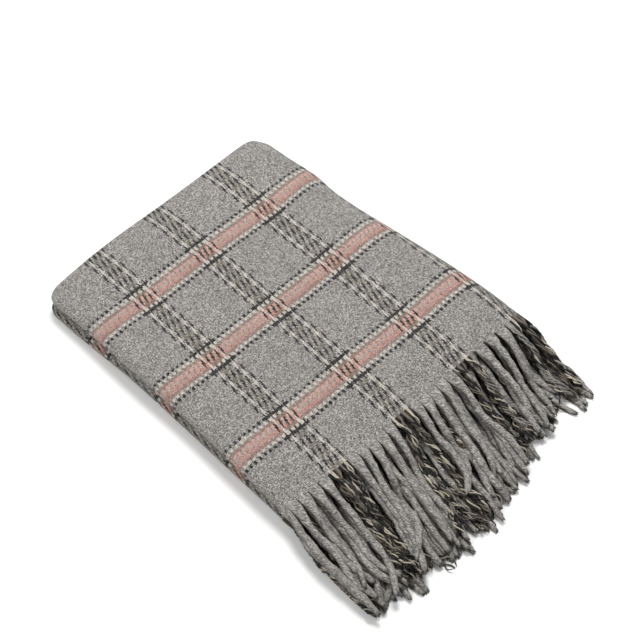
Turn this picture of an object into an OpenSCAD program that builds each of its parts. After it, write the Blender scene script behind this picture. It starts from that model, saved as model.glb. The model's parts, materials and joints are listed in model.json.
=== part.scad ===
// Folded throw blanket: one woven cloth with fringed ends, folded to sixteen layers.
// The cloth is first folded twice along its length, which makes a ribbon of four leaves
// with both fringed ends at the front. Both long sides are then turned in over the middle,
// and the ribbon is closed like a book, with the spine on the right.
// X runs across the cloth, Y runs from the fringe to the far fold, and Z is up.
// The origin is under the middle of the whole folded stack, fringe included.

/* [Folded stack] */
// Width of the stack, from the side creases to the spine
stack_w = 332; // [300:1:360]
// Length of the woven leaves, from the fringe roots to the far fold
stack_l = 410; // [360:1:450]
// Free width that the inner flaps leave beside the spine
spine_room = 36; // [30:1:60]

/* [Cloth] */
// Thickness of one layer of cloth as it lies
cloth_t = 2.2; // [1.6:0.1:2.4]
// Air between two layers
layer_gap = 0.2; // [0.1:0.1:0.4]

/* [Fringe] */
// Length of a tassel
fringe_l = 135; // [80:1:150]
// Thickness of a tassel
tassel_d = 5.6; // [4:0.1:5.8]
// Spacing of the tassels along one end of the cloth
tassel_pitch = 13; // [12:0.5:16]

/* [Movement] */
// Clearance between the upper and the lower half
half_gap = 0.3; // [0.2:0.1:0.6]

/* [Hidden] */

// Leaves of cloth in one ribbon
leaves = 4;
// Distance from one layer to the next
layer_step = cloth_t + layer_gap;
// Height of one ribbon of four leaves
pack_h = leaves * layer_step - layer_gap;
// Height of one half, which is two ribbons
half_h = 2 * pack_h + layer_gap;
// Height of the whole stack, and the plane where the halves part
stack_h = 2 * half_h + half_gap;
mid_z = stack_h / 2;

// Ends of the leaves along Y, with the origin under the middle of leaves and fringe together
front_y = fringe_l - (stack_l + fringe_l) / 2;
far_y = front_y + stack_l;

// Side creases on the left and spine on the right
crease_r = half_h / 2;
crease_x = -stack_w / 2 + crease_r;
spine_r = mid_z;
spine_x = stack_w / 2 - spine_r;
flap_end_x = stack_w / 2 - spine_room;

// Underside of each ribbon
lower_leaf_z = 0;
lower_flap_z = pack_h + layer_gap;
upper_flap_z = half_h + half_gap;
upper_leaf_z = upper_flap_z + pack_h + layer_gap;

// Middle heights of the tassels at the root and at the tip, from the lowest ribbon up
tassel_r = tassel_d / 2;
tip_step = tassel_d + 0.3;
lower_leaf_root_z = tassel_r;
lower_flap_root_z = half_h - tassel_r - 0.1;
upper_flap_root_z = upper_flap_z + tassel_r + 0.1;
upper_leaf_root_z = stack_h - tassel_r - 0.1;
lower_flap_tip_z = tassel_r + tip_step;
upper_flap_tip_z = tassel_r + 2 * tip_step;
upper_leaf_tip_z = tassel_r + 3 * tip_step;

// First tassel of end A beside the side crease, and how far end B is set over from it
first_tassel_x = crease_x + 7;
end_b_shift = tassel_pitch / 2;
// Room kept between the last tassel and the edge that it comes to
last_tassel_room = 3.4;
// Tassels round one side crease and round half of the spine
crease_tassels = 2;
spine_tassels = 4;
spine_tassel_r = spine_r - tassel_r - 0.1;
crease_tassel_r = crease_r - tassel_r - 0.1;

ground = [0.65, 0.63, 0.61];
shade = [0.56, 0.54, 0.52];
yarn = [0.54, 0.53, 0.51];
dark_yarn = [0.36, 0.34, 0.33];
$fn = 48;

// Half of a flat ring, opening towards -X. Its inner and outer radii are rows of the ribbon.
module half_ring(inner, outer) {
    difference() {
        circle(r = outer);
        if (inner > 0) circle(r = inner);
        translate([-2 * outer, -2 * outer]) square([2 * outer, 4 * outer]);
    }
}

// Section of the four-leaf ribbon along Y, with its outer face up and its underside at 0.
// Leaf 4 is the outer one. Leaves 4 and 1 turn round at the far fold, and so do 3 and 2.
// Leaves 2 and 1 turn round at the front, under the two fringed ends.
module ribbon_section() {
    big_r = pack_h / 2;
    small_r = layer_step - layer_gap / 2;
    straight_y = far_y - big_r;
    turn_y = front_y + small_r;
    // Leaf 4 and leaf 3 end in the fringe, and leaves 2 and 1 stop short of it to turn round
    for (k = [0 : leaves - 1]) {
        start = k < 2 ? turn_y : front_y;
        translate([start, k * layer_step]) square([straight_y - start, cloth_t]);
    }
    translate([straight_y, pack_h / 2]) half_ring(big_r - cloth_t, big_r);
    translate([straight_y, pack_h / 2]) half_ring(small_r - cloth_t, small_r);
    translate([turn_y, layer_step - layer_gap / 2]) mirror([1, 0]) half_ring(small_r - cloth_t, small_r);
}

// Ribbon from one X to another, with its underside at z. The outer face is up or down.
module ribbon(from_x, to_x, z, face_up) {
    translate([from_x, 0, face_up ? z : z + pack_h])
        rotate([90, 0, 90])
            linear_extrude(height = to_x - from_x)
                mirror([0, face_up ? 0 : 1]) ribbon_section();
}

// Nested leaves round a bend whose axis runs along Y at (x, z). The inner leaf has radius inner.
module bend_leaves(x, z, inner) {
    translate([x, far_y, z])
        rotate([90, 0, 0])
            linear_extrude(height = stack_l)
                for (k = [0 : leaves - 1])
                    half_ring(inner + k * layer_step, inner + k * layer_step + cloth_t);
}

module side_crease(z) {
    mirror([1, 0, 0]) bend_leaves(-crease_x, z + crease_r, layer_gap / 2);
}

// Upper or lower quarter of the spine, cut where the halves part
module spine_quarter(from_z) {
    intersection() {
        bend_leaves(spine_x, mid_z, spine_r - pack_h);
        translate([spine_x, front_y, from_z]) cube([spine_r + 1, stack_l, half_h]);
    }
}

// One tassel at x. It leaves the cloth at height root_z and its tip lies at height tip_z.
module tassel(x, root_z, tip_z) {
    slope = atan((root_z - tip_z) / fringe_l);
    inset = tassel_r * sin(slope);
    translate([x, front_y - inset, root_z - inset * tan(slope)])
        rotate([90 + slope, 0, 0])
            cylinder(h = (fringe_l - 2 * inset) / cos(slope), d = tassel_d);
}

// Row of tassels along a ribbon that ends at end_x
module tassel_row(end_x, shift, root_z, tip_z) {
    first = first_tassel_x + shift;
    count = floor((end_x - last_tassel_room - first) / tassel_pitch);
    for (i = [0 : count]) tassel(first + i * tassel_pitch, root_z, tip_z);
}

// Tassels round a side crease, with one in the middle of it
module crease_tassel_row(z) {
    tassel(crease_x, z + crease_r, z + crease_r);
    for (i = [0 : crease_tassels - 1]) {
        turn = 45 - 90 * i;
        level = z + crease_r + crease_tassel_r * sin(turn);
        tassel(crease_x - crease_tassel_r * cos(turn), level, level);
    }
}

// Tassels round a quarter of the spine. side is 1 for the upper quarter and -1 for the lower.
module spine_tassel_row(side) {
    step = 90 / spine_tassels;
    for (i = [0 : spine_tassels - 1]) {
        turn = side * (i + 0.5) * step;
        level = mid_z + spine_tassel_r * sin(turn);
        tassel(spine_x + spine_tassel_r * cos(turn), level, level);
    }
}

module lower_outer_leaf() {
    color(ground) ribbon(crease_x, spine_x, lower_leaf_z, false);
}

module lower_inner_flap() {
    color(shade) ribbon(crease_x, flap_end_x, lower_flap_z, true);
}

module lower_side_crease() {
    color(ground) side_crease(0);
}

module lower_spine() {
    color(ground) spine_quarter(0);
}

module upper_outer_leaf() {
    color(ground) ribbon(crease_x, spine_x, upper_leaf_z, true);
}

module upper_inner_flap() {
    color(shade) ribbon(crease_x, flap_end_x, upper_flap_z, false);
}

module upper_side_crease() {
    color(ground) side_crease(upper_flap_z);
}

module upper_spine() {
    color(ground) spine_quarter(upper_flap_z);
}

module lower_leaf_fringe_end_a() {
    color(yarn) tassel_row(spine_x, 0, lower_leaf_root_z, lower_leaf_root_z);
}

module lower_leaf_fringe_end_b() {
    color(dark_yarn) tassel_row(spine_x, end_b_shift, lower_leaf_root_z, lower_leaf_root_z);
}

module lower_flap_fringe_end_a() {
    color(yarn) tassel_row(flap_end_x, 0, lower_flap_root_z, lower_flap_tip_z);
}

module lower_flap_fringe_end_b() {
    color(dark_yarn) tassel_row(flap_end_x, end_b_shift, lower_flap_root_z, lower_flap_tip_z);
}

module upper_flap_fringe_end_a() {
    color(yarn) tassel_row(flap_end_x, 0, upper_flap_root_z, upper_flap_tip_z);
}

module upper_flap_fringe_end_b() {
    color(dark_yarn) tassel_row(flap_end_x, end_b_shift, upper_flap_root_z, upper_flap_tip_z);
}

module upper_leaf_fringe_end_a() {
    color(yarn) tassel_row(spine_x, 0, upper_leaf_root_z, upper_leaf_tip_z);
}

module upper_leaf_fringe_end_b() {
    color(dark_yarn) tassel_row(spine_x, end_b_shift, upper_leaf_root_z, upper_leaf_tip_z);
}

module lower_crease_fringe() {
    color(yarn) crease_tassel_row(0);
}

module lower_spine_fringe() {
    color(yarn) spine_tassel_row(-1);
}

module upper_crease_fringe() {
    color(yarn) crease_tassel_row(upper_flap_z);
}

module upper_spine_fringe() {
    color(yarn) spine_tassel_row(1);
}

lower_outer_leaf();
lower_inner_flap();
lower_side_crease();
lower_spine();
upper_outer_leaf();
upper_inner_flap();
upper_side_crease();
upper_spine();
lower_leaf_fringe_end_a();
lower_leaf_fringe_end_b();
lower_flap_fringe_end_a();
lower_flap_fringe_end_b();
upper_flap_fringe_end_a();
upper_flap_fringe_end_b();
upper_leaf_fringe_end_a();
upper_leaf_fringe_end_b();
lower_crease_fringe();
lower_spine_fringe();
upper_crease_fringe();
upper_spine_fringe();
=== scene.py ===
import json
import math
import random

import bpy
import numpy as np
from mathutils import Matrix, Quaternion, Vector


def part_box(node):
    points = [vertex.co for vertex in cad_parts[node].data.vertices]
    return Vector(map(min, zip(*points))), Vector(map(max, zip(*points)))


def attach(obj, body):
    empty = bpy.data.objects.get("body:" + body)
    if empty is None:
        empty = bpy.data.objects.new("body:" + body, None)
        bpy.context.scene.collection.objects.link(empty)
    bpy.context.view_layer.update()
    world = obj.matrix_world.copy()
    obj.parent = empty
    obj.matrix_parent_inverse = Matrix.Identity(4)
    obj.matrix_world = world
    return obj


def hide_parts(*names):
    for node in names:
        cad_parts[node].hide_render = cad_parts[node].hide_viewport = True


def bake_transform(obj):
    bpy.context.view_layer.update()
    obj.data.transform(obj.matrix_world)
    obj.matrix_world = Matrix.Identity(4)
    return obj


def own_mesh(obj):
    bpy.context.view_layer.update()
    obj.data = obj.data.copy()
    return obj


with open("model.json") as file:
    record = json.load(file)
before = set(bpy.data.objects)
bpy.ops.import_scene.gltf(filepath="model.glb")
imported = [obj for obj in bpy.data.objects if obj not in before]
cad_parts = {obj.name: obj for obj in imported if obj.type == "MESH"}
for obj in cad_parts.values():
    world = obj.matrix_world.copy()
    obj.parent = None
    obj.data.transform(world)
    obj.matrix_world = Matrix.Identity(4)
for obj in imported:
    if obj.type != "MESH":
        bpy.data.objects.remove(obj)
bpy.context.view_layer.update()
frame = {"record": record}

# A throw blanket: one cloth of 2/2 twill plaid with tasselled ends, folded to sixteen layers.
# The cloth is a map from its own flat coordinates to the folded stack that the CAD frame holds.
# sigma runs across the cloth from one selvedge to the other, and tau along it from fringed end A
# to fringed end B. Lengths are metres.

MM = 0.001

# ------------------------------------ places, from the frame
leaf_lo, leaf_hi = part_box("upper_outer_leaf")
flap_lo, flap_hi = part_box("upper_inner_flap")
lower_flap_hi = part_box("lower_inner_flap")[1]
front_y, far_y = leaf_lo.y, leaf_hi.y
crease_x, spine_x = leaf_lo.x, leaf_hi.x
flap_end_x = flap_hi.x
stack_h = leaf_hi.z
pack_h = leaf_hi.z - leaf_lo.z
upper_flap_z = flap_lo.z
half_h = lower_flap_hi.z
mid_z = stack_h / 2
crease_r = half_h / 2
spine_r = mid_z
stack_left, stack_right = crease_x - crease_r, spine_x + spine_r
tip_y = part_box("lower_leaf_fringe_end_a")[0].y
hinge = Vector(frame["record"]["behaviour"]["joints"][0]["pos_m"])

# ------------------------------------ the cloth
LEAVES = 4
CLOTH_T = 2.2 * MM
LEAF_STEP = (pack_h + 0.2 * MM) / LEAVES
END_PITCH = 1.61 * MM      # one warp end
PICK_PITCH = 4.27 * MM     # one weft pick
STRIPE_ENDS = 56           # ends from one stripe to the next
BAND_PICKS = 28            # picks from one band to the next
STRIPE_PATTERN = "BBWWBBTTBBTTBBWWBB"
BAND_PATTERN = "BWORSPOWB"
STRIPE_X = -95 * MM        # middle of one stripe, on top of the stack
BAND_FROM_END = 79.5 * MM  # middle of the first band, from end A
SPREAD = 16.5 * MM         # how much wider the stack is at its fringe than at its far end
SPREAD_FROM = 170 * MM     # where along Y the stack starts to get wider
SPREAD_RUN = 270 * MM      # and how far it takes
SPREAD_X = 60 * MM         # only the cloth to the right of here is spread
BULGE, BULGE_Y, BULGE_REACH = 3 * MM, 185 * MM, 45 * MM  # one more rounding in the spine
UNDER_SHIFT = 7 * MM       # how far the lower half's threads lie off the upper half's
EDGE_REACH = 34 * MM       # how far in the stack sinks from its left and far edges
LONG_REACH = 40 * MM       # and from its spine and its front edge
SIDE_WANDER, BAND_WANDER = 1.3 * MM, 1.6 * MM
CORNER_ROUND = 4 * MM      # how far the far corners are drawn in
LEFT_SPREAD = 4 * MM       # how far the left edge runs out towards the fringe
FAR_OUT = 6 * MM           # how far the far edge stands out
BAND_SLIP = 3 * MM         # how far the cloth slips towards the front, some 100 mm inside the far edge
HUMP, HUMP_X, HUMP_REACH = 0.07, 132 * MM, 60 * MM  # the swelling beside the spine, as a share of the height
LEVEL_FROM, LEVEL_RUN = 100 * MM, 30 * MM  # where along X the middle of the stack comes level with the hinge

# ------------------------------------ the fringe
TASSEL_PITCH = 13 * MM
TASSEL_L = front_y - tip_y
ENDS_IN_TASSEL = 8
END_PLACES = [(k - (ENDS_IN_TASSEL - 1) / 2) * TASSEL_PITCH / ENDS_IN_TASSEL for k in range(ENDS_IN_TASSEL)]
STATION = 2.5 * MM         # one step along a tassel
ROOT_IN = 5 * MM           # how far its fan reaches into the cloth
FAN = 16 * MM              # about the length over which the flat fan gathers into a rope
LEAN_IN = 16 * MM          # length over which a tassel takes up its lean
WANDER_IN = 30 * MM        # and its waves
FIRST_SLOPE = 0.12         # its fall where it leaves the cloth, in radians
BEND_R = 70 * MM           # how tightly a tassel bends down by its own weight
STEEPEST = 0.8             # and its steepest fall, in radians
PILE_UP = 4 * MM           # how far above its root a tassel can be pushed up by the others
PILE_FALL = 0.12           # and how much less that is for each metre along it
SETTLING = 10              # rounds of smoothing its height
TIP_THIN = 26 * MM         # length over which a grey tassel thins to its tip
ENDS_IN_CORD = 4           # a stripe tassel is two such cords
CORD_R, END_R = 2.1 * MM, 1.35 * MM  # how far a cord lies off the tassel's middle, and an end off its cord's
STRAY = 1.4 * MM           # how far single ends stray
STRIPE_TASSEL_R = 3.4 * MM
DEEPEST_SHADE_DEPTH = 10 * MM       # how deep in the heap a tassel's painted shade is darkest
FLANK_SHADE_IN, HEAP_SHADE_IN = 26 * MM, 50 * MM  # lengths over which painted shade on its flanks and painted shade for its depth in the heap come to darken it
WHOLE_TURN = 6.28          # about one, for waves and their random starts
LEFT_LIMIT = stack_left - 11 * MM    # past the limits a tassel turns back, and at the front it ends
RIGHT_LIMIT = stack_right + 15 * MM
FRONT_LIMIT = tip_y - 20 * MM


def smooth(value):
    """0 below 0, 1 above 1, and a smooth step between."""
    v = np.clip(value, 0.0, 1.0)
    return v * v * (3 - 2 * v)


def near(value, edge, reach):
    """1 at the edge, falling smoothly to 0 at reach from it."""
    return smooth(1 - np.abs(value - edge) / reach)


def ripple(u, v, size, seed):
    """A smooth wandering surface between about -1 and 1, with hills of about this size."""
    rng = random.Random(seed)
    total = 0.0
    for k in range(5):
        turn = rng.uniform(0, math.pi)
        wave = 2 * math.pi / (size * rng.uniform(0.7, 1.8))
        total = total + np.sin((u * math.cos(turn) + v * math.sin(turn)) * wave + rng.uniform(0, WHOLE_TURN))
    return total / 2.6


# ------------------------------------ folding
flap_len = flap_end_x - crease_x
crease_len = math.pi * crease_r
leaf_len = spine_x - crease_x
spine_len = math.pi * spine_r
SECTION = [flap_len, crease_len, leaf_len, spine_len, leaf_len, crease_len, flap_len]
BREAKS = np.concatenate([[0.0], np.cumsum(SECTION)])
CLOTH_W = float(BREAKS[-1])
STRIPE_SIGMA = BREAKS[2] + STRIPE_X - crease_x
STRIPE_START = STRIPE_SIGMA - len(STRIPE_PATTERN) / 2 * END_PITCH
BAND_START = BAND_FROM_END - len(BAND_PATTERN) / 2 * PICK_PITCH
SPINE_MIDDLE = BREAKS[3] + spine_len / 2
INSIDE = 1e-9              # keeps the last station within the cloth

# Groups of tassels, in the order that they lie: the stretch of the section that each hangs from, its cloth
# ends from the lowest up, the radius of its ropes, and the radius to which they press each other
GROUPS = {
    "lower_leaf": (SPINE_MIDDLE, BREAKS[5], "ab", 3.4 * MM, 2.0 * MM),
    "lower_flap": (BREAKS[5], BREAKS[7], "ba", 3.5 * MM, 2.0 * MM),
    "upper_flap": (BREAKS[0], BREAKS[1], "ab", 3.6 * MM, 2.2 * MM),
    "upper_leaf": (BREAKS[1], SPINE_MIDDLE, "ba", 3.9 * MM, 2.4 * MM),
}


def outer_face(sigma):
    """The outer face of the folded ribbon in the section across the stack: x, z and the outward normal."""
    k = int(min(max(np.searchsorted(BREAKS, sigma, side="right") - 1, 0), len(SECTION) - 1))
    u = sigma - BREAKS[k]
    if k == 0:
        return flap_end_x - u, upper_flap_z, 0.0, -1.0
    if k == 1:
        turn = u / crease_r
        nx, nz = -math.sin(turn), -math.cos(turn)
        return crease_x + crease_r * nx, upper_flap_z + crease_r + crease_r * nz, nx, nz
    if k == 2:
        return crease_x + u, stack_h, 0.0, 1.0
    if k == 3:
        turn = u / spine_r
        nx, nz = math.sin(turn), math.cos(turn)
        return spine_x + spine_r * nx, mid_z + spine_r * nz, nx, nz
    if k == 4:
        return spine_x - u, 0.0, 0.0, -1.0
    if k == 5:
        turn = u / crease_r
        nx, nz = -math.sin(turn), -math.cos(turn)
        return crease_x + crease_r * nx, crease_r + crease_r * nz, nx, nz
    return crease_x + u, half_h, 0.0, 1.0


# Along its length the cloth runs out and back twice. The middle of each turn and each turn's radius:
big_turn_r, small_turn_r = 1.5 * LEAF_STEP, 0.5 * LEAF_STEP
far_turn_y = far_y - 2 * LEAF_STEP
front_turn_y = front_y + small_turn_r + CLOTH_T / 2
RUNS = [
    far_turn_y - front_y, math.pi * big_turn_r,
    far_turn_y - front_turn_y, math.pi * small_turn_r,
    far_turn_y - front_turn_y, math.pi * small_turn_r,
    far_turn_y - front_y,
]
RUN_BREAKS = np.concatenate([[0.0], np.cumsum(RUNS)])


def along(tau, out):
    """Where a point of the cloth lies along Y, and its depth under the ribbon's outer face. out is how
    far it stands off the cloth's middle towards the face that end A shows."""
    k = int(min(max(np.searchsorted(RUN_BREAKS, tau, side="right") - 1, 0), len(RUNS) - 1))
    u = tau - RUN_BREAKS[k]
    if k == 0:
        return front_y + u, 0.5 * LEAF_STEP - out
    if k == 1:
        turn, r = u / big_turn_r, big_turn_r + out
        return far_turn_y + r * math.sin(turn), 2 * LEAF_STEP - r * math.cos(turn)
    if k == 2:
        return far_turn_y - u, 3.5 * LEAF_STEP + out
    if k == 3:
        turn, r = u / small_turn_r, small_turn_r + out
        return front_turn_y - r * math.sin(turn), 3 * LEAF_STEP + r * math.cos(turn)
    if k == 4:
        return front_turn_y + u, 2.5 * LEAF_STEP - out
    if k == 5:
        turn, r = u / small_turn_r, small_turn_r - out
        return far_turn_y + r * math.sin(turn), 2 * LEAF_STEP + r * math.cos(turn)
    return far_turn_y - u, 1.5 * LEAF_STEP + out


def spread(y):
    """How far the spine runs out past the frame: the stack is wider at its fringe than at its far end."""
    return SPREAD * smooth((SPREAD_FROM - y) / SPREAD_RUN) + BULGE * near(y, BULGE_Y, BULGE_REACH)


def spine_share(x):
    """0 in the middle of the stack and 1 at its spine."""
    return smooth((x - SPREAD_X) / (spine_x - SPREAD_X))


def drift(sigma, y):
    """How far the folds wander off the threads, so that the plaid keeps its size where the stack is wider."""
    sigmas, ys = np.atleast_1d(sigma), np.atleast_1d(y)
    share = np.array([spine_share(outer_face(s)[0]) for s in sigmas])
    under = smooth((sigmas - SPINE_MIDDLE) / (BREAKS[5] - SPINE_MIDDLE))
    share = np.where(sigmas < SPINE_MIDDLE, share, (2 - share) * (1 - under))
    return share[:, None] * spread(ys)[None, :] + (under * UNDER_SHIFT)[:, None]


def bridge(sigma, tau):
    """How far the spine's inner layers are drawn apart as the book opens. Their flat coordinates follow, so
    that the plaid keeps its size there."""
    lie = [along(t, 0.0) for t in tau]
    ys, depths = np.array([p[0] for p in lie]), np.array([p[1] for p in lie])
    apart = np.where(depths > LEAF_STEP, np.maximum(depths - spread(ys), 0.0), 0.0)
    off = (sigma - SPINE_MIDDLE) / (spine_len / 6)
    share = np.sign(off) * np.clip(1.1 - 1.1 * np.abs(off), 0.0, 1.0)
    return share[:, None] * apart[None, :]


def corner_share(x):
    """1 at the left and right edges of the stack, where its far corners are rounded."""
    return near(x, stack_left, 20 * MM) + near(x, stack_right, 26 * MM)


def settled_x(x, y, z):
    """The sides wander, the far corners are rounded, and the stack is wider at its fringe. The lower half's
    left edge stands in a little at the middle, and looks out by 3 mm at the far corner."""
    new_x = x + SIDE_WANDER * ripple(y, z * 4, 150 * MM, 5)
    new_x = new_x + np.sign(-x) * CORNER_ROUND * corner_share(x) * near(y, far_y, 16 * MM)
    recess_mm = 1.2 * smooth((y - 20 * MM) / (90 * MM)) - 4.2 * smooth((y - 120 * MM) / (110 * MM))
    lower_half = smooth(1.25 - 2.2 * (z / stack_h))
    new_x = new_x + recess_mm * MM * lower_half * (x < 0) * near(x, stack_left, EDGE_REACH)
    new_x = new_x + spread(y) * spine_share(x)
    return new_x - LEFT_SPREAD * smooth((-90 * MM - x) / (76 * MM)) * smooth((40 * MM - y) / (180 * MM))


def settled_y(x, y, z):
    """The bands wander, most of all on top, the far corners are rounded, and the far edge stands out, least
    of all on the left."""
    loose = 0.3 + 0.7 * (z / stack_h)
    new_y = y + BAND_WANDER * ripple(x, z * 5, 140 * MM, 7) * loose
    new_y = new_y - CORNER_ROUND * corner_share(x) * near(y, far_y, EDGE_REACH)
    slant = 0.4 + 0.6 * smooth((x + 160 * MM) / (120 * MM))
    new_y = new_y + FAR_OUT * smooth((y - 190 * MM) / (80 * MM)) * slant
    return new_y - BAND_SLIP * near(y, 175 * MM, 75 * MM)


def settled_z(x, y, z):
    """The cloth sinks at its edges and its far left corner, and swells between them and in a hump beside its
    spine. Beside the spine the layers halfway up stay level with the hinge."""
    rise = z / stack_h
    left, far = near(x, stack_left, EDGE_REACH), near(y, far_y, EDGE_REACH)
    right, front = near(x, stack_right, LONG_REACH), near(y, front_y, LONG_REACH)
    sink = (1 - 0.05 * left) * (1 - 0.05 * right) * (1 - 0.07 * far) * (1 - 0.10 * front)
    sink = sink * (1 - 0.17 * near(x, stack_left, 75 * MM) * near(y, far_y, 110 * MM))
    swell = 1 + 0.025 * (1 - left) * (1 - right) * (1 - far) * (1 - front)
    swell = swell + HUMP * near(x, HUMP_X, HUMP_REACH) * smooth((210 * MM - y) / (60 * MM))
    hills = ripple(x, y, 95 * MM, 3)
    new_z = z * sink * swell + rise * 0.9 * MM * hills
    level = mid_z * sink * swell + 0.45 * MM * hills
    between = 4 * rise * (1 - rise) * smooth((x - LEVEL_FROM) / LEVEL_RUN)
    return new_z + (hinge.z - level) * between


def settle(points):
    """Turns the ideal stack into soft cloth."""
    x, y, z = points[..., 0], points[..., 1], points[..., 2]
    return np.stack([settled_x(x, y, z), settled_y(x, y, z), settled_z(x, y, z)], axis=-1)


def cloth_grid(sigmas, taus, out):
    """Settled points over a grid of flat coordinates, this far off the cloth's middle."""
    face = np.array([outer_face(s) for s in sigmas])
    lengthwise = np.array([along(t, out) for t in taus])
    x, z, nx, nz = (face[:, k, None] for k in range(4))
    y, depth = lengthwise[None, :, 0], lengthwise[None, :, 1]
    return settle(np.stack([x - depth * nx, y + 0 * x, z - depth * nz], axis=-1))


def cloth_normals(sigmas, taus, out):
    """The cloth's own normals over the same grid, so that shells which meet are shaded as one cloth."""
    e = 0.2 * MM
    s, t = np.array(sigmas), np.array(taus)
    across = cloth_grid(s + e, t, out) - cloth_grid(s - e, t, out)
    lengthwise = cloth_grid(s, t + e, out) - cloth_grid(s, t - e, out)
    normal = np.cross(across, lengthwise)
    return normal / np.linalg.norm(normal, axis=-1)[..., None]


def mesh_piece(name, points, faces, material, smooth_faces=True):
    """A new mesh object. Its faces are wound so that they look outwards."""
    mesh = bpy.data.meshes.new(name)
    mesh.from_pydata([tuple(p) for p in points], [], faces)
    mesh.polygons.foreach_set("use_smooth", [smooth_faces] * len(mesh.polygons))
    mesh.materials.append(material)
    mesh.update()
    piece = bpy.data.objects.new(name, mesh)
    bpy.context.scene.collection.objects.link(piece)
    return piece


def put_vectors(piece, name, values):
    """Stores one vector a point on the mesh, for its material."""
    layer = piece.data.attributes.new(name, "FLOAT_VECTOR", "POINT")
    layer.data.foreach_set("vector", np.asarray(values, dtype=np.float32).ravel())


def stations(stretches):
    """Places along stretches of the cloth. Each stretch is its start, its end and its number of steps."""
    places = [stretches[0][0]]
    for start, end, steps in stretches:
        places += [start + (end - start) * (i + 1) / steps for i in range(steps)]
    return np.array(places)


def shell_faces(rows, columns):
    """The faces of a closed shell over a grid of points: those of its two sides, and the rim between them."""
    def at(i, j, side):
        """The number of a point. The outer side is 0 and the inner one is 1."""
        return side * rows * columns + i * columns + j

    sides, rim = [], []
    for i in range(rows - 1):
        for j in range(columns - 1):
            sides.append((at(i, j, 0), at(i + 1, j, 0), at(i + 1, j + 1, 0), at(i, j + 1, 0)))
            sides.append((at(i, j, 1), at(i, j + 1, 1), at(i + 1, j + 1, 1), at(i + 1, j, 1)))
    for i in range(rows - 1):
        j = columns - 1
        rim.append((at(i, 0, 0), at(i, 0, 1), at(i + 1, 0, 1), at(i + 1, 0, 0)))
        rim.append((at(i, j, 0), at(i + 1, j, 0), at(i + 1, j, 1), at(i, j, 1)))
    for j in range(columns - 1):
        i = rows - 1
        rim.append((at(0, j, 0), at(0, j + 1, 0), at(0, j + 1, 1), at(0, j, 1)))
        rim.append((at(i, j, 0), at(i, j, 1), at(i, j + 1, 1), at(i, j + 1, 0)))
    return sides, rim


def cloth_shell(name, sigmas, taus, material):
    """One closed shell of cloth over a grid of flat coordinates."""
    outs = (CLOTH_T / 2, -CLOTH_T / 2)
    points = np.concatenate([cloth_grid(sigmas, taus, out).reshape(-1, 3) for out in outs])
    normals = np.concatenate([
        cloth_normals(sigmas, taus, outs[0]).reshape(-1, 3),
        -cloth_normals(sigmas, taus, outs[1]).reshape(-1, 3),
    ])
    s, t = np.meshgrid(sigmas, taus, indexing="ij")
    s = s + drift(sigmas, np.array([along(tau, 0.0)[0] for tau in taus])) + bridge(sigmas, taus)
    flat = np.stack([s, t, 0 * s], axis=-1).reshape(-1, 3)
    sides, rim = shell_faces(len(sigmas), len(taus))
    piece = mesh_piece(name, points, sides + rim, material)
    put_vectors(piece, "cloth", np.concatenate([flat, flat]))
    mesh = piece.data
    corner_normals = [normals[v] for face in sides for v in face]
    for face in mesh.polygons[len(sides):]:
        corner_normals += [face.normal[:]] * 4
    mesh.normals_split_custom_set([tuple(n) for n in corner_normals])
    return piece


# ------------------------------------ materials
def srgb(r, g, b):
    """A colour given as 0 to 255 screen values, in linear light."""
    def linear(c):
        c = c / 255
        return c / 12.92 if c <= 0.04045 else ((c + 0.055) / 1.055) ** 2.4
    return (linear(r), linear(g), linear(b), 1.0)


GREY = srgb(124, 121, 118)
BLACK = srgb(22, 20, 21)
CREAM = srgb(182, 176, 167)
PINK = srgb(186, 145, 136)
ROSE = srgb(179, 126, 116)
SAND = srgb(166, 142, 131)
OCHRE = srgb(134, 109, 98)
TAN = srgb(106, 100, 88)
RAW_WHITE = srgb(176, 168, 152)
BROWN = srgb(70, 58, 49)
WHITE, NOTHING = (1, 1, 1, 1), (0, 0, 0, 1)
CLOTH_DYES = {"B": BLACK, "W": CREAM, "P": PINK, "R": ROSE, "S": SAND, "O": OCHRE, "T": TAN}

CLOTH_FIBRES, NAP_FIBRES, ROPE_FIBRES = 980.0, 1100.0, 900.0  # to a metre
CLOTH_CONTRAST, NAP_CONTRAST, ROPE_CONTRAST = 1.25, 1.2, 0.7
CLUMPS, GRAINS = 0.22, 0.26  # how much coarse clumps and single fibres add to the melange
DRAWN_OUT = 0.7            # the noise of the cloth's fibres is longer along the thread by 1 / this
CLOTH_RELIEF, FRINGE_RELIEF = 0.6 * MM, 0.4 * MM
ROPE_R = 3.6 * MM          # the radius at which a rope's fibres are drawn


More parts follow.
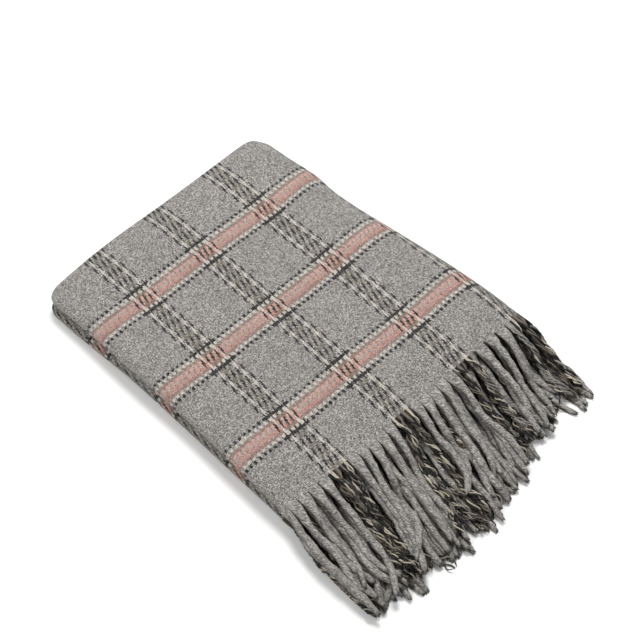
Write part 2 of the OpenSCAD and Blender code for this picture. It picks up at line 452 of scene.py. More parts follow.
class Shader:
    """A node material, put together from short calls."""

    def __init__(self, name):
        self.material = bpy.data.materials.new(name)
        self.material.use_nodes = True
        self.tree = self.material.node_tree
        self.tree.nodes.clear()

    def add(self, kind, settings=None, **inputs):
        """A new node. Each input is another node's output or a plain value, by its name or number."""
        node = self.tree.nodes.new(kind)
        for key, value in (settings or {}).items():
            setattr(node, key, value)
        for key, value in inputs.items():
            socket = node.inputs[int(key[1:])] if key[1:].isdigit() else node.inputs[key.replace("_", " ")]
            if isinstance(value, bpy.types.NodeSocket):
                self.tree.links.new(value, socket)
            else:
                socket.default_value = value
        return node

    def math(self, operation, a, b=0.0, c=0.0):
        """The result of one sum."""
        return self.add("ShaderNodeMath", {"operation": operation}, i0=a, i1=b, i2=c).outputs[0]

    def mix(self, share, a, b, blend="MIX"):
        """A colour between a and b."""
        node = self.add("ShaderNodeMix", {"data_type": "RGBA", "blend_type": blend})
        for socket, value in ((node.inputs[0], share), (node.inputs[6], a), (node.inputs[7], b)):
            if isinstance(value, bpy.types.NodeSocket):
                self.tree.links.new(value, socket)
            else:
                socket.default_value = value
        return node.outputs[2]

    def noise(self, place, scale, detail=2.0, rough=0.5):
        """Smooth noise of about 0 to 1, with this many hills to a metre."""
        node = self.add("ShaderNodeTexNoise", None, Vector=place, Scale=scale, Detail=detail, Roughness=rough)
        return node.outputs["Fac"]

    def ramp(self, value, stops, interpolation="LINEAR"):
        """Colours along a line. Each stop is a place from 0 to 1 and a colour."""
        node = self.add("ShaderNodeValToRGB", None, Fac=value)
        node.color_ramp.interpolation = interpolation
        while len(node.color_ramp.elements) < len(stops):
            node.color_ramp.elements.new(0.5)
        for element, (place, colour) in zip(node.color_ramp.elements, stops):
            element.position = place
            element.color = colour
        return node.outputs["Color"]

    def stretched(self, x, y, z=0.0):
        """A place put together from its three parts."""
        return self.add("ShaderNodeCombineXYZ", None, X=x, Y=y, Z=z).outputs[0]


def thread_stops(pattern, period, colours, ground):
    """Ramp stops for a run of coloured threads, then plain ground up to the next run."""
    stops, last = [], None
    for i, letter in enumerate(pattern):
        if letter != last:
            stops.append((i / period, colours[letter]))
            last = letter
    return stops + [(len(pattern) / period, ground)]


def melange(shader, place, fine, contrast):
    """Grey wool of mixed fibres, from nearly black to nearly white, with this many fibres to a metre."""
    speck = shader.noise(place, fine, 2.0, 0.7)
    clump = shader.noise(place, fine * 0.3, 2.0, 0.6)
    scaled = shader.add("ShaderNodeVectorMath", {"operation": "SCALE"}, Vector=place, Scale=fine * 1.1)
    cell = shader.add("ShaderNodeVectorMath", {"operation": "FLOOR"}, i0=scaled.outputs[0])
    white = shader.add("ShaderNodeTexWhiteNoise", {"noise_dimensions": "3D"}, Vector=cell.outputs[0])
    grain = white.outputs["Value"]
    speck = shader.math("MULTIPLY_ADD", shader.math("SUBTRACT", clump, 0.5), CLUMPS, speck)
    speck = shader.math("MULTIPLY_ADD", shader.math("SUBTRACT", grain, 0.5), GRAINS, speck)
    speck = shader.math("MULTIPLY_ADD", shader.math("SUBTRACT", speck, 0.5), contrast, 0.5)
    return shader.ramp(speck, [
        (0.28, srgb(54, 52, 51)),
        (0.41, srgb(98, 95, 92)),
        (0.50, GREY),
        (0.59, srgb(151, 148, 143)),
        (0.72, srgb(194, 191, 186)),
    ])


def wool_surface(shader, colour, height, depth):
    """Matt wool with a faint sheen, and relief from this height."""
    bump = shader.add("ShaderNodeBump", None, Strength=1.0, Distance=depth, Height=height)
    surface = shader.add("ShaderNodeBsdfPrincipled", None, Base_Color=colour, Normal=bump.outputs[0])
    surface.inputs["Roughness"].default_value = 0.95
    surface.inputs["Specular IOR Level"].default_value = 0.12
    surface.inputs["Sheen Weight"].default_value = 0.15
    surface.inputs["Sheen Roughness"].default_value = 0.6
    shader.add("ShaderNodeOutputMaterial", None, Surface=surface.outputs[0])
    return shader.material


def thread_numbers(sh, flat, s, t):
    """The number of the warp end and of the weft pick at each place. The threads waver, as soft wool does."""
    waver_s = sh.noise(flat, 300.0, 2.0)
    waver_t = sh.noise(sh.stretched(t, s, 0.3), 300.0, 2.0)
    s_soft = sh.math("MULTIPLY_ADD", sh.math("SUBTRACT", waver_s, 0.5), 2.6 * MM, s)
    t_soft = sh.math("MULTIPLY_ADD", sh.math("SUBTRACT", waver_t, 0.5), 4.5 * MM, t)
    ends = sh.math("DIVIDE", sh.math("SUBTRACT", s_soft, STRIPE_START), END_PITCH)
    picks = sh.math("DIVIDE", sh.math("SUBTRACT", t_soft, BAND_START), PICK_PITCH)
    return ends, picks


def repeat_share(sh, number, period):
    """How far through its repeat a thread lies, from 0 to 1."""
    return sh.math("DIVIDE", sh.math("FLOORED_MODULO", number, period), float(period))


def thread_colour(sh, pattern, period, share, grey, uneven):
    """The colour of one set of threads: dyed yarns in the run, and plain grey up to the next run."""
    dyed = sh.ramp(share, thread_stops(pattern, period, CLOTH_DYES, NOTHING), "CONSTANT")
    dyed = sh.mix(1.0, dyed, uneven, "MULTIPLY")
    return sh.mix(sh.math("LESS_THAN", share, len(pattern) / period), grey, dyed)


def warp_on_top(sh, ends, picks):
    """2/2 twill: an end lies on top for two picks, and each next end is one pick further on."""
    step = sh.math("SUBTRACT", sh.math("FLOOR", ends), sh.math("FLOOR", picks))
    return sh.math("LESS_THAN", sh.math("FLOORED_MODULO", step, 4.0), 1.5)


def brushed_weft(sh, s, t, weft, pick_share, end_share):
    """The coloured wefts took their dye unevenly, and are brushed out over the plain warp, all but the black
    and white ones at the band's edges. Returns their colour and how far they cover the warp."""
    marks = {"-": NOTHING, "+": WHITE}
    inner_picks = sh.ramp(pick_share, thread_stops("--+++++--", BAND_PICKS, marks, NOTHING), "CONSTANT")
    madder = sh.ramp(sh.noise(sh.stretched(s, t, 8.3), 640.0, 2.0), [
        (0.32, (0.90, 0.62, 0.56, 1)), (0.50, WHITE), (0.68, (1.10, 1.24, 1.24, 1))])
    weft = sh.mix(inner_picks, weft, sh.mix(1.0, weft, madder, "MULTIPLY"))
    plain_warp = sh.math("GREATER_THAN", end_share, len(STRIPE_PATTERN) / STRIPE_ENDS)
    loose = sh.math("MULTIPLY_ADD", sh.noise(sh.stretched(s, t, 5.1), 420.0, 2.0), 2.2, -0.75)
    return weft, sh.math("MULTIPLY", sh.math("MULTIPLY", inner_picks, loose), plain_warp)


def under_nap(sh, nap_place, nap, colour):
    """The threads' colour under the nap, which carries loose fibres of the ground over them and is cloudy."""
    veil = sh.ramp(nap, [(0.50, NOTHING), (0.74, (0.62, 0.62, 0.62, 1))])
    colour = sh.mix(veil, colour, melange(sh, nap_place, NAP_FIBRES, NAP_CONTRAST))
    cloudy = sh.noise(nap_place, 38.0, 2.0)
    shade = sh.ramp(cloudy, [(0.25, (0.93, 0.93, 0.93, 1)), (0.75, (1.06, 1.055, 1.05, 1))])
    colour = sh.mix(1.0, colour, shade, "MULTIPLY")
    tinted = sh.noise(nap_place, 210.0, 2.0)
    tint = sh.ramp(tinted, [(0.3, (0.97, 0.99, 1.05, 1)), (0.7, (1.03, 1.01, 0.95, 1))])
    return sh.mix(1.0, colour, tint, "MULTIPLY")


def crown(sh, number):
    """The rounded top of a thread, from 0 at its sides to 1 at its middle."""
    across = sh.math("SUBTRACT", sh.math("FRACT", number), 0.5)
    return sh.math("MULTIPLY_ADD", sh.math("MULTIPLY", across, across), -4.0, 1.0)


def woven_plaid():
    """2/2 twill of melange grey with stripes and bands, brushed so that its threads are soft."""
    sh = Shader("woven_plaid")
    flat = sh.add("ShaderNodeAttribute", {"attribute_name": "cloth"}).outputs["Vector"]
    parts = sh.add("ShaderNodeSeparateXYZ", None, Vector=flat)
    s, t = parts.outputs["X"], parts.outputs["Y"]
    ends, picks = thread_numbers(sh, flat, s, t)
    end_share, pick_share = repeat_share(sh, ends, STRIPE_ENDS), repeat_share(sh, picks, BAND_PICKS)

    # Each set of threads has its own fibres, drawn out along it
    warp_place = sh.stretched(s, sh.math("MULTIPLY", t, DRAWN_OUT))
    weft_place = sh.stretched(sh.math("MULTIPLY", s, DRAWN_OUT), t, 0.7)
    warp_grey = melange(sh, warp_place, CLOTH_FIBRES, CLOTH_CONTRAST)
    weft_grey = melange(sh, weft_place, CLOTH_FIBRES, CLOTH_CONTRAST)
    speck = sh.noise(sh.stretched(s, t, 1.7), 560.0, 2.0)
    uneven = sh.ramp(speck, [(0.3, (0.62, 0.64, 0.66, 1)), (0.5, WHITE), (0.7, (1.3, 1.29, 1.28, 1))])
    warp = thread_colour(sh, STRIPE_PATTERN, STRIPE_ENDS, end_share, warp_grey, uneven)
    weft = thread_colour(sh, BAND_PATTERN, BAND_PICKS, pick_share, weft_grey, uneven)
    warp_up = warp_on_top(sh, ends, picks)
    weft, brushed = brushed_weft(sh, s, t, weft, pick_share, end_share)
    warp_shows = sh.math("MULTIPLY", warp_up, sh.math("SUBTRACT", 1.0, brushed))
    nap_place = sh.stretched(s, t, 2.4)
    nap = sh.noise(nap_place, 620.0, 3.0, 0.6)
    colour = under_nap(sh, nap_place, nap, sh.mix(warp_shows, weft, warp))
    weft_crown = crown(sh, picks)
    weave = sh.math("MULTIPLY_ADD", sh.math("SUBTRACT", crown(sh, ends), weft_crown), warp_up, weft_crown)
    height = sh.math("MULTIPLY_ADD", weave, 0.4, nap)
    height = sh.math("MULTIPLY_ADD", sh.noise(nap_place, 2600.0, 2.0), 0.35, height)
    return wool_surface(sh, colour, height, CLOTH_RELIEF)


# The place of each dye on the fringe's ramp: grey, black, raw white, tan and brown
DYES = {"G": 0.05, "B": 0.25, "W": 0.45, "T": 0.65, "M": 0.85}
GREY_END = 0.15            # below this the yarn is melange grey


def fringe_yarn():
    """Twisted wool yarn. Each strand's dye, its length so far and its turn come from the mesh, and so does
    its painted shade.
    """
    sh = Shader("fringe_yarn")
    yarn = sh.add("ShaderNodeAttribute", {"attribute_name": "yarn"}).outputs["Vector"]
    parts = sh.add("ShaderNodeSeparateXYZ", None, Vector=yarn)
    dye, length, turn = parts.outputs["X"], parts.outputs["Y"], parts.outputs["Z"]
    angle = sh.math("MULTIPLY", turn, 2 * math.pi)
    around_x = sh.math("MULTIPLY", sh.math("COSINE", angle), ROPE_R)
    around_y = sh.math("MULTIPLY", sh.math("SINE", angle), ROPE_R)
    drawn_out = sh.stretched(around_x, around_y, sh.math("MULTIPLY", length, 0.5))
    grey = melange(sh, drawn_out, ROPE_FIBRES, ROPE_CONTRAST)
    fibres = sh.noise(sh.stretched(around_x, around_y, sh.math("MULTIPLY", length, 0.15)), 900.0, 3.0, 0.65)
    dyes = [(0.0, NOTHING), (GREY_END, BLACK), (0.35, RAW_WHITE), (0.55, TAN), (0.75, BROWN)]
    dyed = sh.ramp(dye, dyes, "CONSTANT")
    colour = sh.mix(sh.math("LESS_THAN", dye, GREY_END), dyed, grey)
    streak = sh.ramp(fibres, [
        (0.28, (0.76, 0.76, 0.76, 1)), (0.50, (1.10, 1.10, 1.09, 1)), (0.72, (1.38, 1.37, 1.36, 1))])
    colour = sh.mix(1.0, colour, streak, "MULTIPLY")

    # Painted shade between the tassels: darker low on their flanks and where they lie deep in the heap
    lie = sh.add("ShaderNodeAttribute", {"attribute_name": "lie"}).outputs["Vector"]
    shade_parts = sh.add("ShaderNodeSeparateXYZ", None, Vector=lie)
    flank_shade = sh.ramp(sh.math("MULTIPLY_ADD", shade_parts.outputs["X"], 0.5, 0.5), [
        (0.30, (0.24, 0.23, 0.22, 1)), (0.60, (0.66, 0.65, 0.63, 1)), (0.84, WHITE)])
    # painted shade, darker the deeper a point lies in the heap
    depth = sh.ramp(shade_parts.outputs["Y"], [
        (0.05, WHITE), (0.40, (0.58, 0.57, 0.55, 1)), (0.95, (0.22, 0.21, 0.20, 1))])
    colour = sh.mix(1.0, sh.mix(1.0, colour, flank_shade, "MULTIPLY"), depth, "MULTIPLY")
    fuzz = sh.noise(drawn_out, 2400.0, 3.0, 0.6)
    height = sh.math("MULTIPLY_ADD", fuzz, 0.6, fibres)
    return wool_surface(sh, colour, height, FRINGE_RELIEF)


def floor_paper():
    """Plain pale studio paper."""
    sh = Shader("floor_paper")
    place = sh.add("ShaderNodeTexCoord").outputs["Object"]
    tone = sh.ramp(sh.noise(place, 3.0), [(0.3, srgb(243, 243, 242)), (0.7, srgb(247, 247, 246))])
    surface = sh.add("ShaderNodeBsdfPrincipled", None, Base_Color=tone)
    surface.inputs["Roughness"].default_value = 0.9
    sh.add("ShaderNodeOutputMaterial", None, Surface=surface.outputs[0])
    return sh.material


# ------------------------------------ camera, light and floor
CAMERA_PLACE = (-0.695, -0.952, 1.568)
CAMERA_TARGET = (0.0283, 0.0243, 0.02)
CAMERA_ROLL = -8.0         # degrees
LENS, SENSOR = 100.0, 36.0  # millimetres
WORLD_LIGHT = 0.42
KEY_PLACE, KEY_SIZE, KEY_POWER = (0.6, 0.35, 1.8), 0.7, 33.0
FILL_PLACE, FILL_SIZE, FILL_POWER = (-1.2, 0.2, 1.4), 1.4, 12.0
FLOOR_SIZE, FLOOR_Z = 12.0, -0.2 * MM


def make_camera():
    """The camera looks down on the front left corner, turned a little clockwise."""
    place, target = Vector(CAMERA_PLACE), Vector(CAMERA_TARGET)
    data = bpy.data.cameras.new("camera")
    data.lens = LENS
    data.sensor_width = SENSOR
    camera = bpy.data.objects.new("camera", data)
    camera.location = place
    camera.rotation_mode = "QUATERNION"
    roll = Quaternion((0.0, 0.0, 1.0), math.radians(CAMERA_ROLL))
    camera.rotation_quaternion = (target - place).to_track_quat("-Z", "Y") @ roll
    bpy.context.scene.collection.objects.link(camera)
    bpy.context.scene.camera = camera


def softbox(name, place, size, power):
    """A square area light aimed at the stack."""
    data = bpy.data.lights.new(name, "AREA")
    data.shape = "SQUARE"
    data.size = size
    data.energy = power
    lamp = bpy.data.objects.new(name, data)
    lamp.location = place
    lamp.rotation_mode = "QUATERNION"
    lamp.rotation_quaternion = (Vector((0, 0, 0)) - Vector(place)).to_track_quat("-Z", "Y")
    bpy.context.scene.collection.objects.link(lamp)


def make_studio():
    """Even white light, one soft lamp from behind on the right, a weaker one on the left, and pale paper."""
    bpy.context.scene.view_settings.view_transform = "Standard"
    world = bpy.data.worlds.new("studio")
    world.use_nodes = True
    background = world.node_tree.nodes["Background"]
    background.inputs["Color"].default_value = (1.0, 1.0, 1.0, 1.0)
    background.inputs["Strength"].default_value = WORLD_LIGHT
    bpy.context.scene.world = world
    softbox("key", KEY_PLACE, KEY_SIZE, KEY_POWER)
    softbox("fill", FILL_PLACE, FILL_SIZE, FILL_POWER)
    half = FLOOR_SIZE / 2
    corners = [(x, y, FLOOR_Z) for x, y in ((-half, -half), (half, -half), (half, half), (-half, half))]
    mesh_piece("floor", corners, [(0, 1, 2, 3)], floor_paper(), False)


# ------------------------------------ fringe
class Heap:
    """How high the fringe already lies, on a fine grid in front of the cloth."""
    SIDE_ROOM, FRONT_ROOM, BACK_ROOM = 0.06, 0.08, 0.02

    def __init__(self):
        self.step = 1.5 * MM
        self.x0, self.y0 = stack_left - self.SIDE_ROOM, tip_y - self.FRONT_ROOM
        columns = int((stack_right + self.SIDE_ROOM - self.x0) / self.step)
        rows = int((front_y + self.BACK_ROOM - self.y0) / self.step)
        self.top = np.zeros((columns, rows))

    def cell(self, x, y):
        """The grid's cell at this place, or the nearest one."""
        i = min(max(int((x - self.x0) / self.step), 0), self.top.shape[0] - 1)
        j = min(max(int((y - self.y0) / self.step), 0), self.top.shape[1] - 1)
        return i, j

    def carries(self, x, y, radius):
        """The lowest height for the middle of a rope that lies here."""
        beside = 0.7 * radius
        middle = self.top[self.cell(x, y)] + radius
        left = self.top[self.cell(x - beside, y)] + beside
        right = self.top[self.cell(x + beside, y)] + beside
        return max(middle, left, right)

    def lay(self, path, radius):
        """Adds one rope to the heap."""
        reach = int(radius / self.step) + 1
        for x, y, z in path:
            ci, cj = self.cell(x, y)
            for i in range(max(ci - reach, 0), min(ci + reach + 1, self.top.shape[0])):
                for j in range(max(cj - reach, 0), min(cj + reach + 1, self.top.shape[1])):
                    off = ((i - ci) ** 2 + (j - cj) ** 2) * (self.step / radius) ** 2
                    if off < 1:
                        self.top[i, j] = max(self.top[i, j], z + radius * math.sqrt(1 - off))


def ease(heap, points, ceiling, soft_r):
    """Smooths a tassel's height, and keeps it on the heap and above the floor."""
    floors = np.array([heap.carries(p[0], p[1], soft_r) for p in points]) - 0.6 * soft_r
    floors = np.minimum(floors, ceiling - PILE_FALL * STATION * np.arange(len(points)))
    for _ in range(SETTLING):
        middle = (points[1:-3, 2] + 2 * points[2:-2, 2] + points[3:-1, 2]) / 4
        points[2:-2, 2] = np.maximum(middle, floors[2:-2])
    points[:, 2] = np.maximum(points[:, 2], soft_r)
    return points


def tassel_path(rng, heap, root, lean, length, soft_r):
    """Stations of one tassel: out of the cloth, over the fringe that lies there already and down to the
    floor. soft_r is the radius to which it is pressed."""
    x, y, z = root
    points = [np.array([x, y + ROOT_IN, z]), np.array([x, y, z])]
    phase, wave = rng.uniform(0, WHOLE_TURN), rng.uniform(60, 100) * MM
    wander = rng.uniform(0.04, 0.15)
    curl = rng.gauss(-0.04, 0.28)
    slope, gone = FIRST_SLOPE, 0.0
    ceiling = z + PILE_UP
    while gone < length and y > FRONT_LIMIT:
        gone += STATION
        tip = smooth((gone / length - 0.55) / 0.45)
        heading = lean * min(1.0, gone / LEAN_IN) + curl * tip
        heading += wander * math.sin(gone / wave * WHOLE_TURN + phase) * min(1.0, gone / WANDER_IN)
        if x < LEFT_LIMIT:
            heading = max(heading, 0.0)
        if x > RIGHT_LIMIT:
            heading = min(heading, -0.03)
        slope = min(slope + STATION / BEND_R, STEEPEST)
        flat = STATION * math.cos(slope)
        x += flat * math.sin(heading)
        y -= flat * math.cos(heading)
        z -= STATION * math.sin(slope)
        floor = min(heap.carries(x, y, soft_r), ceiling - PILE_FALL * gone)
        if z < floor:
            slope = max(0.0, min(slope, math.atan2(points[-1][2] - floor, flat)))
            z = floor
        points.append(np.array([x, y, z]))
    return ease(heap, np.array(points), ceiling, soft_r)


def frames(points, side):
    """A side and an up direction at each station, carried along without turning."""
    tangents = np.gradient(points, axis=0)
    tangents /= np.linalg.norm(tangents, axis=1)[:, None]
    sides = []
    for tangent in tangents:
        side = side - tangent * float(side @ tangent)
        side = side / np.linalg.norm(side)
        sides.append(side)
    sides = np.array(sides)
    return sides, np.cross(sides, tangents)


class Tubes:
    """Collects closed tubes into one mesh."""

    def __init__(self):
        self.points, self.faces, self.yarn, self.lie, self.count = [], [], [], [], 0

    def add(self, rings, yarn, middle, reach):
        """rings is stations x corners x 3, and yarn holds the same for the material's vectors. middle and
        reach are the tassel's middle and how far it reaches up from there, for the painted shade on its
        flanks."""
        count, corners = rings.shape[:2]
        start = self.count
        ends = np.stack([rings[0].mean(axis=0), rings[-1].mean(axis=0)])
        self.points += [rings.reshape(-1, 3), ends]
        self.yarn += [yarn.reshape(-1, 3), np.stack([yarn[0].mean(axis=0), yarn[-1].mean(axis=0)])]
        # Painted shade: points low on a tassel's flanks are darker, fading in from the root, and the painted
        # shade for depth in the heap fades in too
        lie = (rings[:, :, 2] - middle[:, None, 2]) / reach
        gone = np.arange(count)[:, None] * STATION
        heap_shade_share = np.repeat(smooth(gone / HEAP_SHADE_IN), corners, 1)
        lie = 1 + (lie - 1) * smooth(gone / FLANK_SHADE_IN)
        self.lie += [np.stack([lie, 0 * lie, heap_shade_share], -1).reshape(-1, 3), np.zeros((2, 3))]
        self.count += count * corners + 2
        for i in range(count - 1):
            for j in range(corners):
                a, b = start + i * corners + j, start + i * corners + (j + 1) % corners
                self.faces.append((a, a + corners, b + corners, b))
        first, last = self.count - 2, self.count - 1
        for j in range(corners):
            a, b = start + j, start + (j + 1) % corners
            self.faces.append((a, b, first))
            far = (count - 1) * corners
            self.faces.append((b + far, a + far, last))

    def piece(self, name, material, heap):
        """The mesh of all the tubes. Its points carry painted shade, darker the deeper they lie in the heap.
        """
        points = np.concatenate(self.points)
        lie = np.concatenate(self.lie)
        # painted shade: how deep each point lies under the heap's top
        lie[:, 1] = [(heap.top[heap.cell(p[0], p[1])] - p[2]) / DEEPEST_SHADE_DEPTH for p in points]
        lie[:, 1] *= 0.2 + 0.8 * lie[:, 2]
        points[:, 2] = np.maximum(points[:, 2], 0.1 * MM)
        made = mesh_piece(name, points, self.faces, material)
        put_vectors(made, "yarn", np.concatenate(self.yarn))
        # the vector lie carries painted shade for the material: low on the flank and deep in the heap
        put_vectors(made, "lie", lie)
        return made


def ring_angles(corners):
    """The directions of a tube's corners from its middle."""
    return np.arange(corners) * 2 * math.pi / corners


def rope(rng, tubes, path, side, length, radius):
    """One grey tassel: two plies twisted together, from a flat fan of warp ends to a blunt, ragged tip."""
    angles = ring_angles(16)
    sides, ups = frames(path, side)
    gone = np.linspace(-ROOT_IN, length, len(path))
    fan = 1 - smooth(gone / (FAN * rng.uniform(0.8, 2.2)))
    swing = np.sin(gone / (rng.uniform(28, 50) * MM) * WHOLE_TURN + rng.uniform(0, WHOLE_TURN))
    lumps = np.sin(gone / (rng.uniform(9, 14) * MM) * WHOLE_TURN + rng.uniform(0, WHOLE_TURN) + 2 * swing)
    thick = radius * (1 + 0.07 * swing + 0.05 * lumps)
    thick = thick * (1 - rng.uniform(0.1, 0.5) * smooth((gone - length + TIP_THIN) / TIP_THIN))
    wide = thick + (TASSEL_PITCH / 2 - thick) * fan
    flat = 0.92 * thick + (0.5 * CLOTH_T - 0.92 * thick) * fan
    twist = 2 * math.pi * np.maximum(gone, 0) / (rng.uniform(34, 46) * MM) + rng.uniform(0, WHOLE_TURN / 2)
    rough = np.array([[rng.gauss(0, 0.025) for _ in angles] for _ in gone])
    grow = 1 + (1 - fan)[:, None] * (0.07 * np.cos(2 * (angles[None, :] - twist[:, None])) + rough)
    offset = (wide[:, None] * np.cos(angles) * grow)[..., None] * sides[:, None, :]
    offset = offset + (flat[:, None] * np.sin(angles) * grow)[..., None] * ups[:, None, :]
    rings = path[:, None, :] + offset
    out = path[-1] - path[-2]
    out = out / np.linalg.norm(out)
    rings[-1] = path[-1] + (rings[-1] - path[-1]) * 0.72
    ragged = np.array([rng.uniform(-2.5, 3.5) * MM for _ in angles])
    rings[-1] = rings[-1] + ragged[:, None] * out[None, :]
    turn = (angles[None, :] - twist[:, None]) / (2 * math.pi)
    along_rope = np.repeat(gone[:, None], len(angles), 1) + rng.uniform(0, 5)
    tubes.add(rings, np.stack([np.full(turn.shape, DYES["G"]), along_rope, turn], -1), path, radius)


def strand_dye(rng, sigma):
    """The dye of one thin end. Some black ends have faded to brown, and some grey ones are tan."""
    letter = end_dye(sigma)
    if letter == "B" and rng.random() < 0.3:
        return "M"
    if letter == "G" and rng.random() < 0.3:
        return "T"
    return letter


def strands(rng, tubes, path, side, length, sigma):
    """One stripe tassel: two cords laid together, each of four thin ends in their own dyes."""
    angles = ring_angles(6)
    sides, ups = frames(path, side)
    gone = np.linspace(-ROOT_IN, length, len(path))
    fan = 1 - smooth(gone / (FAN * rng.uniform(0.6, 1.4)))
    loose = 1 + 0.45 * smooth((gone / length - 0.6) / 0.4)
    cord_pitch, end_pitch = rng.uniform(48, 66) * MM, rng.uniform(17, 24) * MM
    start_turn = rng.uniform(0, WHOLE_TURN)
    for k, place in enumerate(END_PLACES):
        letter = strand_dye(rng, sigma + place)
        thin = (1.15 if letter == "G" else 0.9) * MM * rng.uniform(0.85, 1.15)
        cord_turn = start_turn + math.pi * (k // ENDS_IN_CORD) + 2 * math.pi * gone / cord_pitch
        end_turn = math.pi / 2 * (k % ENDS_IN_CORD) + 2 * math.pi * gone / end_pitch + rng.uniform(-0.3, 0.3)
        cord, own = CORD_R * loose, END_R * loose
        stray = np.sin(gone / (rng.uniform(20, 45) * MM) * WHOLE_TURN + rng.uniform(0, WHOLE_TURN))
        twisted = cord * np.cos(cord_turn) + own * np.cos(end_turn) + STRAY * stray * loose
        aside = fan * place + (1 - fan) * twisted
        above = (1 - fan) * (0.6 * cord * np.sin(cord_turn) + 0.8 * own * np.sin(end_turn))
        middle = path + aside[:, None] * sides + above[:, None] * ups
        middle[:, 2] = np.maximum(middle[:, 2], thin)
        cut = len(path) - rng.randrange(0, 6)
        thickness = thin * (1 + 0.12 * np.sin(gone[:cut] / (8 * MM) + cord_turn[0]))
        thickness[-1] *= 0.5
        sideways = np.cos(angles)[None, :, None] * sides[:cut, None, :]
        ring = sideways + np.sin(angles)[None, :, None] * ups[:cut, None, :]
        rings = middle[:cut, None, :] + thickness[:, None, None] * ring
        turn = np.repeat((angles / (2 * math.pi))[None, :], cut, 0) + (gone[:cut] / (10 * MM))[:, None]
        along_end = np.repeat(gone[:cut, None], len(angles), 1) + rng.uniform(0, 5)
        yarn = np.stack([np.full(turn.shape, DYES[letter]), along_end, turn], -1)
        tubes.add(rings, yarn, path[:cut], STRIPE_TASSEL_R)


def end_dye(sigma):
    """The letter of the warp end at this place across the cloth."""
    end = int(math.floor((sigma - STRIPE_START) / END_PITCH)) % STRIPE_ENDS
    return STRIPE_PATTERN[end] if end < len(STRIPE_PATTERN) else "G"


def in_stripe(sigma):
    """True if at least three of the tassel's ends belong to a stripe."""
    return sum(end_dye(sigma + place) != "G" for place in END_PLACES) >= 3


def lean_at(x):
    """The tassels are combed towards the left, and less so beside the spine and the left edge."""
    left, right = smooth((-120 * MM - x) / (40 * MM)), smooth((x - 135 * MM) / (40 * MM))
    return -0.22 + 0.06 * left + 0.15 * right


def length_at(x):
    """The tassels reach furthest left of the middle, less far at the left edge and least far at the spine."""
    less_right = 0.29 * smooth((x + 10 * MM) / (160 * MM))
    less_left = 0.12 * smooth((-70 * MM - x) / (80 * MM))
    return TASSEL_L * (1.15 - less_right - less_left)


def lay_tassel(rng, heap, tubes, sigma, depth, radius, soft_r):
    """Lays the tassel at this place across the cloth, whose layer lies at this depth in the ribbon."""
    x, z, nx, nz = outer_face(sigma)
    across = np.array([nz, 0.0, -nx])
    ideal = np.array([x - depth * nx, front_y, z - depth * nz])
    root = settle(ideal)
    aside = settle(ideal + MM * across) - root
    length = length_at(root[0]) * rng.uniform(0.88, 1.06)
    lean = lean_at(root[0]) + rng.gauss(0, 0.075)
    path = tassel_path(rng, heap, root, lean, length, soft_r)
    thread = sigma + float(drift(sigma, front_y)[0, 0])
    if in_stripe(thread):
        strands(rng, tubes, path, aside, length, thread)
    else:
        rope(rng, tubes, path, aside, length, radius * rng.uniform(0.92, 1.08))
    heap.lay(path[4:], soft_r)


def make_fringe(material):
    """Lays every tassel, from the bottom of the stack to its top. Returns the pieces by group and end."""
    rng = random.Random(11)
    heap = Heap()
    rows = {}
    for group, (lowest, highest, ends, radius, soft_r) in GROUPS.items():
        for end in ends:
            rows[group, end] = Tubes()
            depth = (0.5 if end == "a" else 1.5) * LEAF_STEP
            for i in range(int(CLOTH_W / TASSEL_PITCH)):
                sigma = TASSEL_PITCH / 2 + i * TASSEL_PITCH
                if lowest <= sigma < highest:
                    lay_tassel(rng, heap, rows[group, end], sigma, depth, radius, soft_r)
    return {key: tubes.piece("%s_tassels_end_%s" % key, material, heap) for key, tubes in rows.items()}


# ------------------------------------ the model
make_camera()
make_studio()
plaid = woven_plaid()
yarn_material = fringe_yarn()

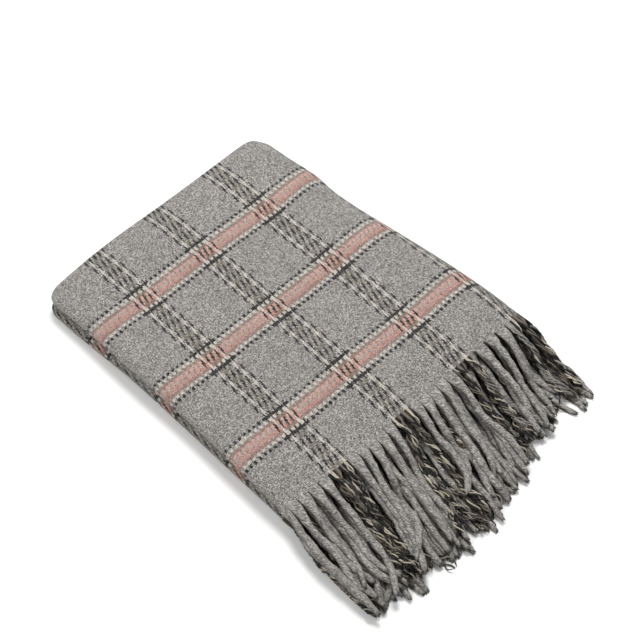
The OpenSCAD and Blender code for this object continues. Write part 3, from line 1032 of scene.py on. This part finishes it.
# The nine sheets: each part of the section has an outer and an inner one, and the middle third of the
# spine is one more. The last number of each stretch is its number of steps.
spine_turn_1, spine_turn_2 = BREAKS[3] + spine_len / 3, BREAKS[3] + 2 * spine_len / 3
OUTER_RUNS = stations([(RUN_BREAKS[0], RUN_BREAKS[1], 84), (RUN_BREAKS[1], RUN_BREAKS[2], 10)])
INNER_RUNS = stations([
    (RUN_BREAKS[2], RUN_BREAKS[3], 26), (RUN_BREAKS[3], RUN_BREAKS[4], 6), (RUN_BREAKS[4], RUN_BREAKS[5], 26),
    (RUN_BREAKS[5], RUN_BREAKS[6], 6), (RUN_BREAKS[6], RUN_BREAKS[7] - INSIDE, 40),
])
ALL_RUNS = np.concatenate([OUTER_RUNS, INNER_RUNS[1:]])
PARTS = {
    "upper_flap": stations([(BREAKS[0], BREAKS[1], 34)]),
    "upper_leaf": stations([
        (BREAKS[1], BREAKS[2], 14), (BREAKS[2], BREAKS[3], 60), (BREAKS[3], spine_turn_1, 8)]),
    "lower_leaf": stations([
        (spine_turn_2, BREAKS[4], 8), (BREAKS[4], BREAKS[5], 50), (BREAKS[5], BREAKS[6], 14)]),
    "lower_flap": stations([(BREAKS[6], BREAKS[7] - INSIDE, 34)]),
}
STANDS_FOR = {
    "upper_flap": ("upper_inner_flap",),
    "upper_leaf": ("upper_outer_leaf", "upper_side_crease"),
    "lower_leaf": ("lower_outer_leaf", "lower_side_crease"),
    "lower_flap": ("lower_inner_flap",),
}
FRINGE_STANDS_FOR = {
    ("upper_leaf", "a"): ("upper_crease_fringe", "upper_spine_fringe"),
    ("lower_leaf", "a"): ("lower_crease_fringe", "lower_spine_fringe"),
}

fringes = make_fringe(yarn_material)
for (group, end), tassels in fringes.items():
    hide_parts(group + "_fringe_end_" + end, *FRINGE_STANDS_FOR.get((group, end), ()))
    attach(tassels, group.split("_")[0] + "_half")
    if group.startswith("upper"):
        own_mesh(tassels)

for group, sigmas in PARTS.items():
    body = group.split("_")[0] + "_half"
    for layers, taus, end in (("outer", OUTER_RUNS, "a"), ("inner", INNER_RUNS, "b")):
        cloth = cloth_shell(group + "_cloth_" + layers, sigmas, taus, plaid)
        if layers == "outer":
            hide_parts(*STANDS_FOR[group])
        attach(cloth, body)

spine = cloth_shell("spine_cloth", stations([(spine_turn_1, spine_turn_2, 11)]), ALL_RUNS, plaid)
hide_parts("upper_spine", "lower_spine")
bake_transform(spine)
